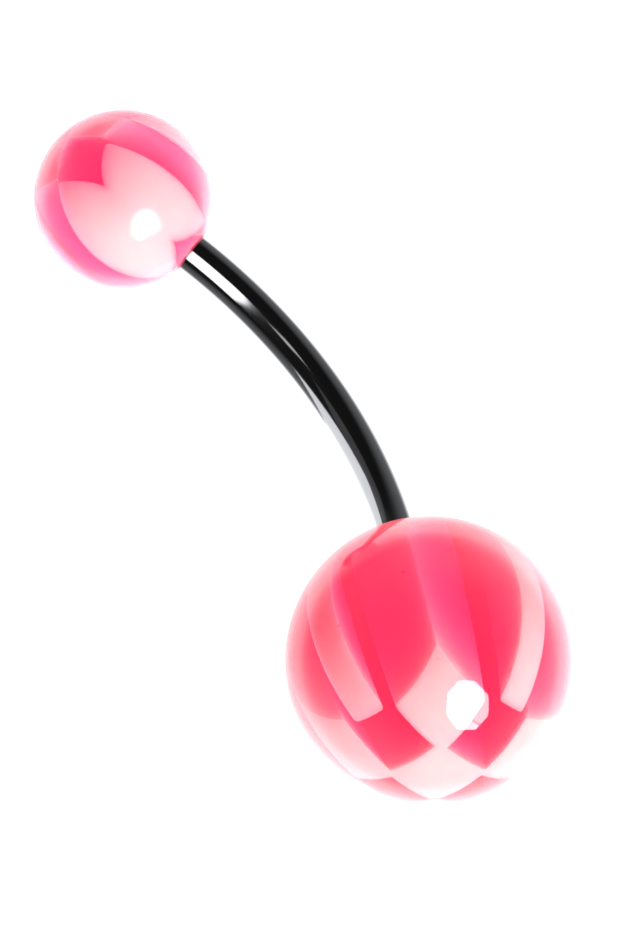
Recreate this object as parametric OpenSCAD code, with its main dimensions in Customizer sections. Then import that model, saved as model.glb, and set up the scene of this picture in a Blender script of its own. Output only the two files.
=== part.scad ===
/* [Bar] */
// Diameter of the bar
bar_d = 1.2; // [0.8:0.1:1.6]
// Length of the bend from ball to ball, along the middle of the bar
bend_len = 11.1; // [8:0.1:12]
// Radius of the bend, to the middle of the bar
bend_r = 14; // [13:0.5:40]
// How far each post inside a ball is stepped in from the bar's surface, as a thread is
thread_depth = 0.1; // [0.05:0.01:0.2]

/* [Large ball] */
// Diameter of the large ball
large_d = 8; // [6:0.5:10]
// Length of the post inside the large ball
large_post = 3; // [1.5:0.1:4]
// Angle of the large ball's rods about its hole
large_rods_angle = -115; // [-180:5:180]

/* [Small ball] */
// Diameter of the small ball
small_d = 5; // [4:0.5:6]
// Length of the post inside the small ball
small_post = 2; // [1:0.1:2.6]
// Angle by which the small ball's rods lean away from its hole
small_lean_angle = 24; // [0:1:45]
// Angle of the side that they lean to, about the hole
small_side_angle = -133; // [-180:1:180]
// Angle of the small ball's rods about themselves
small_rods_angle = -57; // [-180:1:180]

/* [Gaps] */
// Gap between a post and the wall of its hole
post_gap = 0.03; // [0.01:0.01:0.05]
// Room between the end of a post and the bottom of its hole
hole_room = 0.3; // [0.1:0.1:0.5]
// Gap between the bar's shoulder and the rim of a ball's hole
shoulder_gap = 0.02; // [0.01:0.01:0.1]
// Bond line between the pink and the white acrylic
bond_gap = 0.02; // [0.01:0.01:0.05]

/* [Hidden] */
$fn = 96;

PINK = "#f8406a";
MILK = "#fff1ee";
STEEL = "#8b8c90";

large_r = large_d / 2;
small_r = small_d / 2;
post_r = bar_d / 2 - thread_depth;
hole_r = post_r + post_gap;
// Length by which one shape runs into or past another, so that no two faces coincide
past = 0.2;
// Angle of each ball's own surface about its hole. It changes nothing of the ball's shape, but lays a flat of
// the packed mesh on the floor, so that the ring rests as modelled.
surface_angle = -1.9;

// Half of the angle that the bar turns through
half_turn = bend_len / bend_r * 90 / PI;

// White rods of each ball. A row is one rod: its two sides across the bundle one way (U), then its two
// sides the other way (V), all as shares of the ball's radius. Rods past the surface are cut by it.
LARGE_RODS = [
    // U from, U to, V from, V to
    [-0.36, 0.13, -0.15, 0.335],
    [0.08, 0.545, 0.265, 0.685],
    [-0.25, 0.005, 0.705, 1.1],
    [0.585, 1.1, -0.06, 0.165],
    [-0.65, -0.32, 0.275, 0.73],
    [0.075, 0.57, -0.72, -0.13],
    [-0.72, -0.32, -0.62, -0.13],
    [-1.1, -0.64, -0.21, 0.19],
    [-0.36, 0.03, -1.1, -0.66]
];
SMALL_RODS = [
    // U from, U to, V from, V to
    [0.035, 1.1, 0.67, 1.1],
    [0.51, 1.1, 0.17, 1.1],
    [-0.44, -0.04, 0.13, 0.62],
    [-0.08, 0.48, -0.38, 0.16],
    [-0.44, 0.07, -1.1, -0.36],
    [-1.1, -0.42, -0.36, 0.18],
    [0.46, 1.1, -1.1, -0.40],
    [-1.1, -0.43, 0.64, 1.1]
];

// The bar's own frame has the bottom of the bend at its origin, the bend in the XZ plane, the large ball
// at -X and the small ball at +X. The side of an end is -1 for the large ball and 1 for the small one.
function bar_end(side) = [side * bend_r * sin(half_turn), 0, bend_r * (1 - cos(half_turn))];
function outward(side) = [side * cos(half_turn), 0, sin(half_turn)];
// Distance from a ball's middle to the bar's shoulder, which meets the rim of the hole
function seat(ball_r) = sqrt(ball_r * ball_r - hole_r * hole_r) + shoulder_gap;
function middle(side, ball_r) = bar_end(side) + seat(ball_r) * outward(side);

large_at = middle(-1, large_r);
small_at = middle(1, small_r);

// At rest the bend hangs straight down and both balls touch the floor, so the bar tips to the small ball
span = small_at - large_at;
rest_tilt = atan2(span[2], span[0]) + asin((large_r - small_r) / norm(span));
function tipped_x(p) = p[0] * cos(rest_tilt) + p[2] * sin(rest_tilt);
function tipped_z(p) = p[2] * cos(rest_tilt) - p[0] * sin(rest_tilt);
rest_x = -(tipped_x(large_at) - large_r + tipped_x(small_at) + small_r) / 2;
rest_z = large_r - tipped_z(large_at);

// Moves what is in the bar's frame to where the ring rests
module at_rest() {
    translate([rest_x, 0, rest_z]) rotate([0, rest_tilt, 0]) children();
}

// Puts what is drawn about a ball's middle, with +Z away from the bar, on its end of the bar
module on_end(side, ball_r) {
    translate(middle(side, ball_r)) rotate([0, side * (90 - half_turn), 0]) children();
}

// Turns a bundle of rods about a ball's hole, which runs along Z
module bundle(lean, lean_side, spin) {
    rotate([0, 0, lean_side]) rotate([0, lean, 0]) rotate([0, 0, spin]) children();
}

// The white rods as long square bars, each side moved out by grow
module square_rods(rods, ball_r, grow = 0) {
    for (rod = rods)
        translate([rod[0] * ball_r - grow, rod[2] * ball_r - grow, -ball_r - past])
            cube([(rod[1] - rod[0]) * ball_r + 2 * grow, (rod[3] - rod[2]) * ball_r + 2 * grow,
                2 * (ball_r + past)]);
}

// Blind hole of a ball, from its mouth on the bar's side
module post_hole(ball_r, post) {
    translate([0, 0, -ball_r - past]) cylinder(r = hole_r, h = past + ball_r - seat(ball_r) + post + hole_room);
}

// A ball before its rods and its hole, about its hole's axis
module whole_ball(ball_r) {
    rotate([0, 0, surface_angle]) sphere(r = ball_r);
}

// Clear pink acrylic of a ball: what the white rods and the hole leave of it
module pink_of(ball_r, post, rods, lean, lean_side, spin) {
    difference() {
        whole_ball(ball_r);
        bundle(lean, lean_side, spin) square_rods(rods, ball_r, bond_gap);
        post_hole(ball_r, post);
    }
}

// Milky white acrylic of a ball: the rods, turned to the ball's surface
module white_of(ball_r, post, rods, lean, lean_side, spin) {
    difference() {
        intersection() {
            whole_ball(ball_r);
            bundle(lean, lean_side, spin) square_rods(rods, ball_r);
        }
        post_hole(ball_r, post);
    }
}

// Post at one end of the bar, started inside the bend
module bar_post(side, post) {
    translate(bar_end(side)) rotate([0, side * (90 - half_turn), 0])
        translate([0, 0, -past]) cylinder(r = post_r, h = past + post);
}

module curved_bar() {
    color(STEEL) at_rest() {
        translate([0, 0, bend_r]) rotate([90, 0, 0]) rotate([0, 0, -90 - half_turn])
            rotate_extrude(angle = 2 * half_turn) translate([bend_r, 0]) circle(d = bar_d, $fn = 48);
        bar_post(-1, large_post);
        bar_post(1, small_post);
    }
}

module large_ball() {
    color(PINK) at_rest() on_end(-1, large_r)
        pink_of(large_r, large_post, LARGE_RODS, 0, 0, large_rods_angle);
}

module large_ball_rods() {
    color(MILK) at_rest() on_end(-1, large_r)
        white_of(large_r, large_post, LARGE_RODS, 0, 0, large_rods_angle);
}

module small_ball() {
    color(PINK) at_rest() on_end(1, small_r)
        pink_of(small_r, small_post, SMALL_RODS, small_lean_angle, small_side_angle, small_rods_angle);
}

module small_ball_rods() {
    color(MILK) at_rest() on_end(1, small_r)
        white_of(small_r, small_post, SMALL_RODS, small_lean_angle, small_side_angle, small_rods_angle);
}

curved_bar();
large_ball();
large_ball_rods();
small_ball();
small_ball_rods();
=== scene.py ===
import math

import bmesh
import bpy
from mathutils import Matrix, Vector


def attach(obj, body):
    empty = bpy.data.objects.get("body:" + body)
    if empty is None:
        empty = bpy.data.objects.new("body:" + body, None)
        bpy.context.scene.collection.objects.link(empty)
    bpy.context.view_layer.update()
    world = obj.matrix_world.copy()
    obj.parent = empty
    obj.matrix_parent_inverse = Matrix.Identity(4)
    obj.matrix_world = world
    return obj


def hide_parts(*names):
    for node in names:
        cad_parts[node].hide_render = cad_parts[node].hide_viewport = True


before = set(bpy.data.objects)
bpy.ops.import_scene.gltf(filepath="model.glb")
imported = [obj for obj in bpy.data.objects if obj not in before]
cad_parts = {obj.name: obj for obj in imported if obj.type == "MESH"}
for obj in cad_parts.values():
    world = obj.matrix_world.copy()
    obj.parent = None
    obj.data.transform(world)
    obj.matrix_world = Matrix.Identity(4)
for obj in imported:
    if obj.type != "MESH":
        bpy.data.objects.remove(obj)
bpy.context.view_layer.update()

MM = 0.001

# View of the ring
# The ring lies on its two balls with the bend hanging between them, and the photograph looks down on it at
# 39 degrees with the small ball at the top left. A long lens keeps the two balls' sizes as in life.
PICTURE_WIDTH, PICTURE_HEIGHT = 621, 931
PIXEL = MM / 36
# Pixel at which the photograph shows the point of the floor under the ring's middle
ORIGIN_ACROSS, ORIGIN_DOWN = 375.4, 416.7
# How much nearer to the camera the ring's middle is than that point
RING_NEARER = 2.5 * MM
LENS, SENSOR = 800, 36
CLIP_RANGE = 20
camera_right = Vector((-0.5759, -0.3817, -0.7229))
camera_up = Vector((0.7445, -0.6102, -0.2709))
camera_back = camera_right.cross(camera_up).normalized()
turn_to_view = Matrix((camera_right, camera_up, camera_back)).transposed()

aim_across = (PICTURE_WIDTH / 2 - ORIGIN_ACROSS) * PIXEL
aim_up = (ORIGIN_DOWN - PICTURE_HEIGHT / 2) * PIXEL
aim = camera_right * aim_across + camera_up * aim_up + camera_back * RING_NEARER
camera_distance = PICTURE_HEIGHT * PIXEL * LENS / SENSOR
bpy.ops.object.camera_add(location=aim + camera_back * camera_distance, rotation=turn_to_view.to_euler())
camera = bpy.context.object
camera.data.lens = LENS
camera.data.sensor_width = SENSOR
camera.data.clip_start = camera_distance / CLIP_RANGE
camera.data.clip_end = camera_distance * CLIP_RANGE
bpy.context.scene.camera = camera


# Curved bar
# Surgical steel wire bent to an even curve, squared off at both ends and threaded down to a thinner post that
# screws into each ball. It is polished to a mirror after bending. Each piece is modelled in millimetres, with
# the bottom of the bend at the origin, and is then laid where the ring rests.
LARGE, SMALL = -1, 1
BAR_ACROSS = 1.2
POST_ACROSS = 1.0
POST_LENGTHS = {LARGE: 3, SMALL: 2}
BEND_RADIUS = 14
BEND_LENGTH = 11.1
BALL_RADII = {LARGE: 4, SMALL: 2.5}
HOLE_RADIUS = 0.53
SHOULDER_GAP = 0.02
SHOULDER_EDGE = 0.03
BAR_SIDES = 64
BEND_STEPS = 96
SHARP_EDGE = math.radians(30)
STEEL = "c9cacd"
STEEL_DULL = "b4b5b9"
DULL_ACROSS = 2 * MM
POLISH_GRAIN = 0.05 * MM

half_turn = BEND_LENGTH / BEND_RADIUS / 2


def end_of_bar(side):
    """Middle of an end of the bar, the large ball's or the small one's."""
    return Vector((side * math.sin(half_turn), 0, 1 - math.cos(half_turn))) * BEND_RADIUS


def along_bar(side):
    """Direction in which the bar runs out of an end."""
    return Vector((side * math.cos(half_turn), 0, math.sin(half_turn)))


def mouth_from_middle(side):
    """How far the mouth of a ball's hole is from the ball's middle."""
    return math.sqrt(BALL_RADII[side] ** 2 - HOLE_RADIUS ** 2)


def ball_middle(side):
    """Middle of a ball, whose mouth stands a hair off the bar's shoulder."""
    return end_of_bar(side) + along_bar(side) * (mouth_from_middle(side) + SHOULDER_GAP)


# Both balls touch the floor, so the bar tips to the small ball. The ring's length is centred on the origin.
span = ball_middle(SMALL) - ball_middle(LARGE)
tip = math.atan2(span.z, span.x) + math.asin((BALL_RADII[LARGE] - BALL_RADII[SMALL]) / span.length)
tipped = Matrix.Rotation(tip, 4, "Y")
large_end = (tipped @ ball_middle(LARGE)).x - BALL_RADII[LARGE]
small_end = (tipped @ ball_middle(SMALL)).x + BALL_RADII[SMALL]
lift = BALL_RADII[LARGE] - (tipped @ ball_middle(LARGE)).z
at_rest = Matrix.Translation((-(large_end + small_end) / 2, 0, lift)) @ tipped


def select_cap(piece, end):
    """Selects, in edit mode, the round face of the bar that is nearest to one of its ends."""
    bpy.ops.mesh.select_mode(type="FACE")
    bpy.ops.mesh.select_all(action="DESELECT")
    shape = bmesh.from_edit_mesh(piece.data)
    round_faces = [face for face in shape.faces if len(face.verts) == BAR_SIDES]
    min(round_faces, key=lambda face: (face.calc_center_median() - end).length).select_set(True)
    bmesh.update_edit_mesh(piece.data)


def settle(piece, place=Matrix()):
    """Lays a finished piece where the ring rests, in metres, and makes it smooth but for its sharp edges."""
    bpy.ops.object.select_all(action="DESELECT")
    piece.select_set(True)
    bpy.context.view_layer.objects.active = piece
    piece.matrix_world = Matrix.Scale(MM, 4) @ at_rest @ place
    bpy.ops.object.transform_apply(location=True, rotation=True, scale=True)
    bpy.ops.object.shade_smooth_by_angle(angle=SHARP_EDGE)


def linear(hex_colour):
    """A screen colour as the light that it stands for."""
    shares = [int(hex_colour[i:i + 2], 16) / 255 for i in (0, 2, 4)]
    return (*[s / 12.92 if s <= 0.04045 else ((s + 0.055) / 1.055) ** 2.4 for s in shares], 1)


def node(tree, kind, sockets=None, **settings):
    """Adds a node, gives it its settings, and fills or links its sockets."""
    made = tree.nodes.new("ShaderNode" + kind)
    for name, value in settings.items():
        setattr(made, name, value)
    for name, value in (sockets or {}).items():
        if isinstance(value, bpy.types.NodeSocket):
            tree.links.new(value, made.inputs[name])
        else:
            made.inputs[name].default_value = value
    return made


def new_material(name):
    """An empty material and its nodes."""
    material = bpy.data.materials.new(name)
    material.use_nodes = True
    material.node_tree.nodes.clear()
    return material, material.node_tree


bpy.ops.object.select_all(action="DESELECT")
bpy.ops.mesh.primitive_circle_add(
    vertices=BAR_SIDES,
    radius=BAR_ACROSS / 2,
    location=end_of_bar(LARGE),
    rotation=along_bar(LARGE).to_track_quat("Z", "Y").to_euler(),
)
bar = bpy.context.object
bar.name = "bar"
bpy.ops.object.transform_apply(location=True, rotation=True, scale=True)
bpy.ops.object.mode_set(mode="EDIT")
bpy.ops.mesh.select_all(action="SELECT")
bpy.ops.mesh.spin(steps=BEND_STEPS, angle=2 * half_turn, center=(0, 0, BEND_RADIUS), axis=(0, 1, 0))
bpy.ops.mesh.select_all(action="SELECT")
bpy.ops.mesh.fill_holes(sides=BAR_SIDES)
bpy.ops.mesh.select_all(action="SELECT")
bpy.ops.mesh.normals_make_consistent(inside=False)
for side, post_length in POST_LENGTHS.items():
    select_cap(bar, end_of_bar(side))
    bpy.ops.mesh.bevel(offset=SHOULDER_EDGE, segments=3)
    select_cap(bar, end_of_bar(side))
    bpy.ops.mesh.inset(thickness=(BAR_ACROSS - POST_ACROSS) / 2 - SHOULDER_EDGE)
    bpy.ops.mesh.extrude_region_move(TRANSFORM_OT_translate={"value": along_bar(side) * post_length})
    bpy.ops.mesh.bevel(offset=SHOULDER_EDGE, segments=2)
bpy.ops.object.mode_set(mode="OBJECT")
settle(bar)

polished_steel, tree = new_material("polished_surgical_steel")
# Surgical stainless steel, polished to a mirror: a bright grey metal, a little duller in places, with a faint
# grain left by the last polish. The real grain is about a micrometre, so it is drawn coarse enough to show.
place = node(tree, "TexCoord").outputs["Object"]
grain = node(tree, "TexNoise", {"Vector": place, "Scale": 1 / POLISH_GRAIN, "Detail": 3.0})
dull = node(tree, "TexNoise", {"Vector": place, "Scale": 1 / DULL_ACROSS, "Detail": 2.0})
tint = node(tree, "Mix", {
    "Factor": dull.outputs["Fac"], "A": linear(STEEL), "B": linear(STEEL_DULL),
}, data_type="RGBA")
gloss = node(tree, "MapRange", {"Value": dull.outputs["Fac"], "To Min": 0.07, "To Max": 0.12})
bump = node(tree, "Bump", {"Height": grain.outputs["Fac"], "Strength": 0.02, "Distance": 0.001 * MM})
shader = node(tree, "BsdfPrincipled", {
    "Base Color": tint.outputs["Result"], "Metallic": 1.0,
    "Roughness": gloss.outputs["Result"], "Normal": bump.outputs["Normal"],
})
node(tree, "OutputMaterial", {"Surface": shader.outputs["BSDF"]})
bar.data.materials.append(polished_steel)
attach(bar, "root")
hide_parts("curved_bar")


# Large ball
# Square rods of clear pink and milky white acrylic, bonded side by side into a block and turned to a ball. The
# clear pink is one body here, and the milky rods lie in it just under its polished surface. The ball screws on
# the lower end of the bar.
HOLE_ROOM = 0.3
# How deep the milky rods lie under the polished surface
FILM = 0.01
ROD_EDGE = 0.08
# How far outside a ball its drill and its rods start
PAST = 0.5
BALL_SEGMENTS, BALL_RINGS, HOLE_SIDES = 96, 64, 96
# Share of the radius within which a face is the hole's and not the polished skin's
SKIN = 0.99
LARGE_RODS_ANGLE = -115
LARGE_RODS = [
    # U from, U to, V from, V to, as shares of the radius
    (-0.36, 0.13, -0.15, 0.335),
    (0.08, 0.545, 0.265, 0.685),
    (-0.25, 0.005, 0.705, 1.1),
    (0.585, 1.1, -0.06, 0.165),
    (-0.65, -0.32, 0.275, 0.73),
    (0.075, 0.57, -0.72, -0.13),
    (-0.72, -0.32, -0.62, -0.13),
    (-1.1, -0.64, -0.21, 0.19),
    (-0.36, 0.03, -1.1, -0.66),
]
LARGE_DYE = {"Color": (0.99, 0.0, 0.49, 1), "Density": 800.0}
# Colour of the large ball's painted glow: an even emission that lifts its pink under any lamp
LARGE_PAINTED_GLOW = "ff1a4c"
LARGE_POLISH = {"roughness": 0.02, "haze": 0.8}
LARGE_MILK = {"white": "fdc7c0", "cloud": "f6b3ac"}
# Strength of the painted glow in both balls' acrylic
GLOW = 1.2
UNTINTED = "ffffff"
DRILLED = "f2a4b8"
SPECK = "8c0a1c"
SPECK_APART = 0.9 * MM
SPECK_ACROSS = 0.07 * MM
CELLS_WITHOUT_SPECK = 0.8
WAVE_LENGTH = 1.4 * MM
WAVE_HEIGHT = 0.01 * MM
MILK_CLOUD_ACROSS = 1.2 * MM
MILK_DEPTH = 1.2 * MM


def turn(degrees, axis):
    """A turn of a bundle of rods about one of its own axes."""
    return Matrix.Rotation(math.radians(degrees), 4, axis)


def on_bar(side):
    """From a ball's own frame, with its middle at the origin and Z away from the bar, to its end of the bar."""
    return Matrix.Translation(ball_middle(side)) @ Matrix.Rotation(side * (math.pi / 2 - half_turn), 4, "Y")


def drill_for(side, room=0):
    """A drill for a ball's blind hole, in the ball's own frame."""
    start = -BALL_RADII[side] - PAST
    bottom = POST_LENGTHS[side] + HOLE_ROOM + room - mouth_from_middle(side)
    bpy.ops.mesh.primitive_cylinder_add(
        vertices=HOLE_SIDES,
        radius=HOLE_RADIUS + room,
        depth=bottom - start,
        location=(0, 0, (bottom + start) / 2),
    )
    return bpy.context.object


def cut(piece, tool, operation):
    """Cuts a piece with another, which is used up."""
    bpy.ops.object.select_all(action="DESELECT")
    piece.select_set(True)
    bpy.context.view_layer.objects.active = piece
    step = piece.modifiers.new("cut", "BOOLEAN")
    step.object, step.operation, step.solver = tool, operation, "EXACT"
    bpy.ops.object.modifier_apply(modifier=step.name)
    bpy.data.objects.remove(tool)


def whole_ball(radius):
    """A ball before it is drilled or cut."""
    bpy.ops.object.select_all(action="DESELECT")
    bpy.ops.mesh.primitive_uv_sphere_add(segments=BALL_SEGMENTS, ring_count=BALL_RINGS, radius=radius)
    return bpy.context.object


def clear_ball(name, side, acrylic):
    """A polished ball with a blind hole from the bar's side, whose wall keeps the drill's matt finish."""
    ball = whole_ball(BALL_RADII[side])
    ball.name = name
    cut(ball, drill_for(side), "DIFFERENCE")
    ball.data.materials.append(acrylic)
    ball.data.materials.append(drilled_pink)
    for face in ball.data.polygons:
        face.material_index = face.center.length < BALL_RADII[side] * SKIN
    settle(ball, on_bar(side))
    return ball


def milky_rod(ball_radius, u_from, u_to, v_from, v_to):
    """One square rod with eased edges, longer than its ball is wide."""
    bpy.ops.object.select_all(action="DESELECT")
    bpy.ops.mesh.primitive_cube_add(
        size=1,
        location=((u_from + u_to) / 2 * ball_radius, (v_from + v_to) / 2 * ball_radius, 0),
        scale=((u_to - u_from) * ball_radius, (v_to - v_from) * ball_radius, 2 * (ball_radius + PAST)),
    )
    rod = bpy.context.object
    bpy.ops.object.transform_apply(location=True, rotation=True, scale=True)
    bpy.ops.object.mode_set(mode="EDIT")
    bpy.ops.mesh.select_mode(type="EDGE")
    bpy.ops.mesh.select_all(action="DESELECT")
    shape = bmesh.from_edit_mesh(rod.data)
    for edge in shape.edges:
        edge.select_set(abs(edge.verts[0].co.z - edge.verts[1].co.z) > ball_radius)
    bmesh.update_edit_mesh(rod.data)
    bpy.ops.mesh.bevel(offset=ROD_EDGE, segments=3)
    bpy.ops.object.mode_set(mode="OBJECT")
    return rod


def milky_rods(name, side, rods, bundle_turn):
    """The milky rods of a ball, turned with it to a hair under its surface and drilled for the post."""
    bundle, *others = [milky_rod(BALL_RADII[side], *rod) for rod in rods]
    for rod in others:
        cut(bundle, rod, "UNION")
    bundle.name = name
    bundle.data.transform(bundle_turn)
    cut(bundle, whole_ball(BALL_RADII[side] - FILM), "INTERSECT")
    cut(bundle, drill_for(side, FILM), "DIFFERENCE")
    settle(bundle, on_bar(side))
    return bundle


def clear_acrylic(name, dye, glow, roughness, haze):
    """Fluorescent clear acrylic with a dye, a painted glow and a polish of its own."""
    material, tree = new_material(name)
    # Fluorescent clear acrylic, turned and polished: clear enough to show the rods inside it, redder the
    # deeper it is, with a painted glow: an even emission that lifts its pink under any lamp. The turned skin
    # still waves a little, the polish leaves a haze that shows towards the rim, and here and there a speck of
    # dye didn't dissolve.
    place = node(tree, "TexCoord").outputs["Object"]
    cells = node(tree, "TexVoronoi", {"Vector": place, "Scale": 1 / SPECK_APART})
    chosen = node(tree, "SeparateColor", {"Color": cells.outputs["Color"]})
    rare = node(tree, "Math", {0: chosen.outputs["Red"], 1: CELLS_WITHOUT_SPECK}, operation="GREATER_THAN")
    near = node(tree, "MapRange", {
        "Value": cells.outputs["Distance"], "From Min": SPECK_ACROSS / SPECK_APART, "From Max": 0.0,
    })
    speck = node(tree, "Math", {0: near.outputs["Result"], 1: rare.outputs["Value"]}, operation="MULTIPLY")
    tint = node(tree, "Mix", {
        "Factor": speck.outputs["Value"], "A": linear(UNTINTED), "B": linear(SPECK),
    }, data_type="RGBA")
    waves = node(tree, "TexNoise", {"Vector": place, "Scale": 1 / WAVE_LENGTH, "Detail": 1.0})
    bump = node(tree, "Bump", {"Height": waves.outputs["Fac"], "Strength": 0.5, "Distance": WAVE_HEIGHT})
    # The emission is a painted glow, which brightens the pink whatever light falls on it
    shader = node(tree, "BsdfPrincipled", {
        "Base Color": tint.outputs["Result"], "Roughness": roughness, "IOR": 1.49, "Transmission Weight": 1.0,
        "Sheen Weight": haze, "Sheen Roughness": 0.5,
        "Emission Color": linear(glow), "Emission Strength": GLOW, "Normal": bump.outputs["Normal"],
    })
    # Light on its way to the rods goes straight through the skin, so that they are lit inside the ball
    path = node(tree, "LightPath")
    lighting = node(tree, "Math", {
        0: path.outputs["Is Shadow Ray"], 1: path.outputs["Is Diffuse Ray"],
    }, operation="MAXIMUM")
    straight = node(tree, "BsdfTransparent")
    skin = node(tree, "MixShader", {
        "Fac": lighting.outputs["Value"], 1: shader.outputs["BSDF"], 2: straight.outputs["BSDF"],
    })
    depth = node(tree, "VolumeAbsorption", dye)
    node(tree, "OutputMaterial", {"Surface": skin.outputs["Shader"], "Volume": depth.outputs["Volume"]})
    return material


def milky_acrylic(name, white, cloud):
    """Milky acrylic with a white of its own."""
    material, tree = new_material(name)
    # Milky acrylic, sawn into rods and bonded into the pink: light goes over a millimetre into it, blurs
    # there, and comes back warm from the pink around it. The white in it is a little cloudy. It has no gloss
    # of its own, because the bond leaves no air between it and the pink.
    place = node(tree, "TexCoord").outputs["Object"]
    clouds = node(tree, "TexNoise", {"Vector": place, "Scale": 1 / MILK_CLOUD_ACROSS, "Detail": 2.0})
    tint = node(tree, "Mix", {
        "Factor": clouds.outputs["Fac"], "A": linear(white), "B": linear(cloud),
    }, data_type="RGBA")
    shader = node(tree, "BsdfPrincipled", {
        "Base Color": tint.outputs["Result"], "Roughness": 0.3, "IOR": 1.49, "Specular IOR Level": 0.0,
        "Subsurface Weight": 1.0, "Subsurface Radius": (1.0, 1.0, 1.0), "Subsurface Scale": MILK_DEPTH,
    })
    node(tree, "OutputMaterial", {"Surface": shader.outputs["BSDF"]})
    return material


clear_pink = clear_acrylic("turned_clear_pink_acrylic", LARGE_DYE, LARGE_PAINTED_GLOW, **LARGE_POLISH)
milky_white = milky_acrylic("turned_milky_white_acrylic", **LARGE_MILK)

drilled_pink, tree = new_material("drilled_acrylic")
# Acrylic as a drill leaves it: a matt wall that scatters the light which comes to it through the pink
shader = node(tree, "BsdfPrincipled", {
    "Base Color": linear(DRILLED), "Roughness": 0.8, "IOR": 1.49, "Specular IOR Level": 0.0,
})
node(tree, "OutputMaterial", {"Surface": shader.outputs["BSDF"]})

large_clear = clear_ball("large_ball_pink", LARGE, clear_pink)
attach(large_clear, "root")
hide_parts("large_ball")
large_milky = milky_rods("large_ball_milky", LARGE, LARGE_RODS, turn(LARGE_RODS_ANGLE, "Z"))
large_milky.data.materials.append(milky_white)
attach(large_milky, "root")
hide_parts("large_ball_rods")


# Small ball
# Turned from a bundle of the same two acrylics, which leans away from the hole, and screwed on the upper end of
# the bar. Its pink is bluer and thinner, its milk is whiter, and its polish is softer than the large ball's.
SMALL_LEAN_ANGLE = 24
SMALL_SIDE_ANGLE = -133
SMALL_RODS_ANGLE = -57
SMALL_RODS = [
    # U from, U to, V from, V to, as shares of the radius
    (0.035, 1.1, 0.67, 1.1),
    (0.51, 1.1, 0.17, 1.1),
    (-0.44, -0.04, 0.13, 0.62),
    (-0.08, 0.48, -0.38, 0.16),
    (-0.44, 0.07, -1.1, -0.36),
    (-1.1, -0.42, -0.36, 0.18),
    (0.46, 1.1, -1.1, -0.40),
    (-1.1, -0.43, 0.64, 1.1),
]
SMALL_DYE = {"Color": (0.99, 0.0, 0.64, 1), "Density": 560.0}
# Colour of the small ball's painted glow: an even emission that lifts its pink under any lamp
SMALL_PAINTED_GLOW = "ff245c"
SMALL_POLISH = {"roughness": 0.18, "haze": 0.6}
SMALL_MILK = {"white": "fed9cf", "cloud": "fbc8be"}

clear_rose = clear_acrylic("turned_clear_rose_acrylic", SMALL_DYE, SMALL_PAINTED_GLOW, **SMALL_POLISH)
whiter_milk = milky_acrylic("turned_whiter_milky_acrylic", **SMALL_MILK)

small_clear = clear_ball("small_ball_pink", SMALL, clear_rose)
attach(small_clear, "root")
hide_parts("small_ball")
small_turn = turn(SMALL_SIDE_ANGLE, "Z") @ turn(SMALL_LEAN_ANGLE, "Y") @ turn(SMALL_RODS_ANGLE, "Z")
small_milky = milky_rods("small_ball_milky", SMALL, SMALL_RODS, small_turn)
small_milky.data.materials.append(whiter_milk)
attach(small_milky, "root")
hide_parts("small_ball_rods")


# Floor
# A wide sheet of white card that the ring lies on. The camera sees it glow, until it is as white as the paper
# behind the ring in the photograph, and the steel and the acrylic don't mirror it.
FLOOR_ACROSS = 4
CARD = 0.9
CARD_GLOW = 0.9

bpy.ops.object.select_all(action="DESELECT")
bpy.ops.mesh.primitive_plane_add(size=FLOOR_ACROSS, location=(0, 0, 0))
floor = bpy.context.object
floor.name = "floor"
white_card, tree = new_material("white_card")
# Uncoated white card: pale, even and quite without gloss
path = node(tree, "LightPath")
exposure = node(tree, "Math", {0: path.outputs["Is Camera Ray"], 1: CARD_GLOW}, operation="MULTIPLY")
shader = node(tree, "BsdfPrincipled", {
    "Base Color": (CARD, CARD, CARD, 1), "Roughness": 0.9,
    "Emission Color": (1, 1, 1, 1), "Emission Strength": exposure.outputs["Value"],
})
node(tree, "OutputMaterial", {"Surface": shader.outputs["BSDF"]})
floor.data.materials.append(white_card)
floor.visible_glossy = False


# Studio light
# Two soft boxes light the ring and are mirrored in nothing. An eight-sided one makes the highlight on the balls
# alone, and four cards make the streaks in the steel alone. Directions are in the camera's frame: to the right,
# up and back to the camera.
LAMP_AWAY = 0.5
OCTABOX_SIZE = (0.15, 0.2, 1)
OCTABOX_GLOW = 15.0
OCTABOX_PANEL_GLOW = 20.0
SEAM_LOSS = 9.0
SEAM_ACROSS = (0.81, 0.585, 0)
SEAM_AT = -0.33
SEAM_HALF_WIDTH = 0.045
PANEL_FADE = 0.03


def facing(direction, across):
    """Place and turn of what faces the ring from a direction, with its own X along another."""
    back = Vector(direction).normalized()
    up = back.cross(Vector(across)).normalized()
    turned = turn_to_view @ Matrix((up.cross(back), up, back)).transposed()
    return {"location": turn_to_view @ back * LAMP_AWAY, "rotation": turned.to_euler()}


def soft_box(name, direction, across, size, watts):
    """A rectangular soft box that faces the ring, with the first of its sizes along across."""
    bpy.ops.object.light_add(type="AREA", **facing(direction, across))
    lamp = bpy.context.object
    lamp.name = name
    lamp.data.shape = "RECTANGLE"
    lamp.data.size, lamp.data.size_y = size
    lamp.data.energy = watts
    return lamp


for lamp in (
    soft_box("key", (0.446, -0.478, 0.756), across=(1, 0, 0), size=(0.2, 0.2), watts=2.65),
    soft_box("side", (0.3, -0.93, 0.2), across=(1, 0, 0), size=(0.4, 0.4), watts=2.5),
):
    lamp.visible_glossy = False

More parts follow.
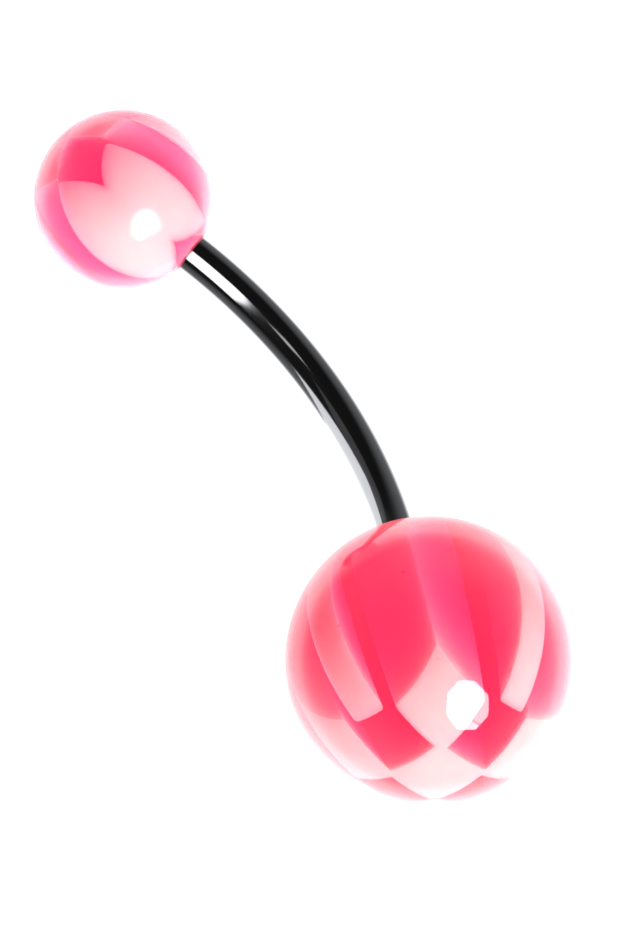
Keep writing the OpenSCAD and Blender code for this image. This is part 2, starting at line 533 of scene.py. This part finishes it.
steel_only = bpy.data.collections.new("steel_only")
steel_only.objects.link(bar)
for card in (
    soft_box("streak_card", (-0.43, -0.07, 0.90), across=(0.53, 0.68, 0.28), size=(0.50, 0.18), watts=0.65),
    soft_box("thin_card", (-0.40, 0.42, 0.81), across=(0.48, 0.84, -0.2), size=(0.10, 0.045), watts=0.010),
    soft_box("left_card", (-0.92, 0.14, -0.33), across=(0, 0, 1), size=(0.72, 0.40), watts=1.0),
    soft_box("dim_card", (-0.74, 0.50, 0.42), across=(1, 0, 0.3), size=(0.24, 0.26), watts=0.014),
):
    card.light_linking.receiver_collection = steel_only

bpy.ops.object.select_all(action="DESELECT")
bpy.ops.mesh.primitive_circle_add(
    vertices=8, radius=1, fill_type="NGON", **facing((0.474, -0.563, 0.674), across=(1, 0.25, 0))
)
octabox = bpy.context.object
octabox.name = "octabox"
octabox.scale = OCTABOX_SIZE
lamp_cloth, tree = new_material("lamp_cloth")
# White diffusing cloth lit from behind: two panels of it, one brighter, with a darker seam between them
place = node(tree, "TexCoord").outputs["Object"]
across = node(tree, "VectorMath", {0: place, 1: SEAM_ACROSS}, operation="DOT_PRODUCT").outputs["Value"]
panels = node(tree, "MapRange", {
    "Value": across, "From Min": SEAM_AT + PANEL_FADE, "From Max": SEAM_AT - PANEL_FADE,
    "To Min": OCTABOX_GLOW, "To Max": OCTABOX_PANEL_GLOW,
})
seam = node(tree, "Math", {0: across, 1: SEAM_AT, 2: SEAM_HALF_WIDTH}, operation="COMPARE")
cloth = node(tree, "Math", {
    0: seam.outputs["Value"], 1: -SEAM_LOSS, 2: panels.outputs["Result"],
}, operation="MULTIPLY_ADD")
shader = node(tree, "Emission", {"Strength": cloth.outputs["Value"]})
node(tree, "OutputMaterial", {"Surface": shader.outputs["Emission"]})
octabox.data.materials.append(lamp_cloth)
octabox.visible_camera = False
octabox.visible_diffuse = False
octabox.visible_transmission = False
octabox.visible_shadow = False
clear_balls = bpy.data.collections.new("clear_balls")
clear_balls.objects.link(large_clear)
clear_balls.objects.link(small_clear)
octabox.light_linking.receiver_collection = clear_balls

# The studio is bright behind the ring and dark behind the camera, and the camera itself sees plain white
BACKDROP_GLOW = 2.15
BACKDROP = (
    # How far behind the ring, from -1 beside the camera to 1 straight behind, and the share of the glow there
    (-0.4, 0.005), (-0.15, 0.05), (0.3, 0.1), (0.47, 0.4), (0.62, 1.0),
)
world = bpy.data.worlds.new("studio")
bpy.context.scene.world = world
world.use_nodes = True
tree = world.node_tree
tree.nodes.clear()
where = node(tree, "TexCoord").outputs["Generated"]
behind = node(tree, "VectorMath", {0: where, 1: -camera_back}, operation="DOT_PRODUCT")
share = node(tree, "MapRange", {"Value": behind.outputs["Value"], "From Min": -1.0})
backdrop = node(tree, "ValToRGB", {"Fac": share.outputs["Result"]})
stops = backdrop.color_ramp.elements
stops.remove(stops[1])
for i, (place_behind, glow) in enumerate(BACKDROP):
    stop = stops[0] if i == 0 else stops.new((place_behind + 1) / 2)
    stop.position = (place_behind + 1) / 2
    stop.color = (glow, glow, glow, 1)
studio = node(tree, "Background", {"Color": backdrop.outputs["Color"], "Strength": BACKDROP_GLOW})
seen = node(tree, "Background", {"Strength": 1.0})
path = node(tree, "LightPath")
both = node(tree, "MixShader", {
    "Fac": path.outputs["Is Camera Ray"], 1: studio.outputs["Background"], 2: seen.outputs["Background"],
})
node(tree, "OutputWorld", {"Surface": both.outputs["Shader"]})

bpy.context.scene.view_settings.view_transform = "Standard"
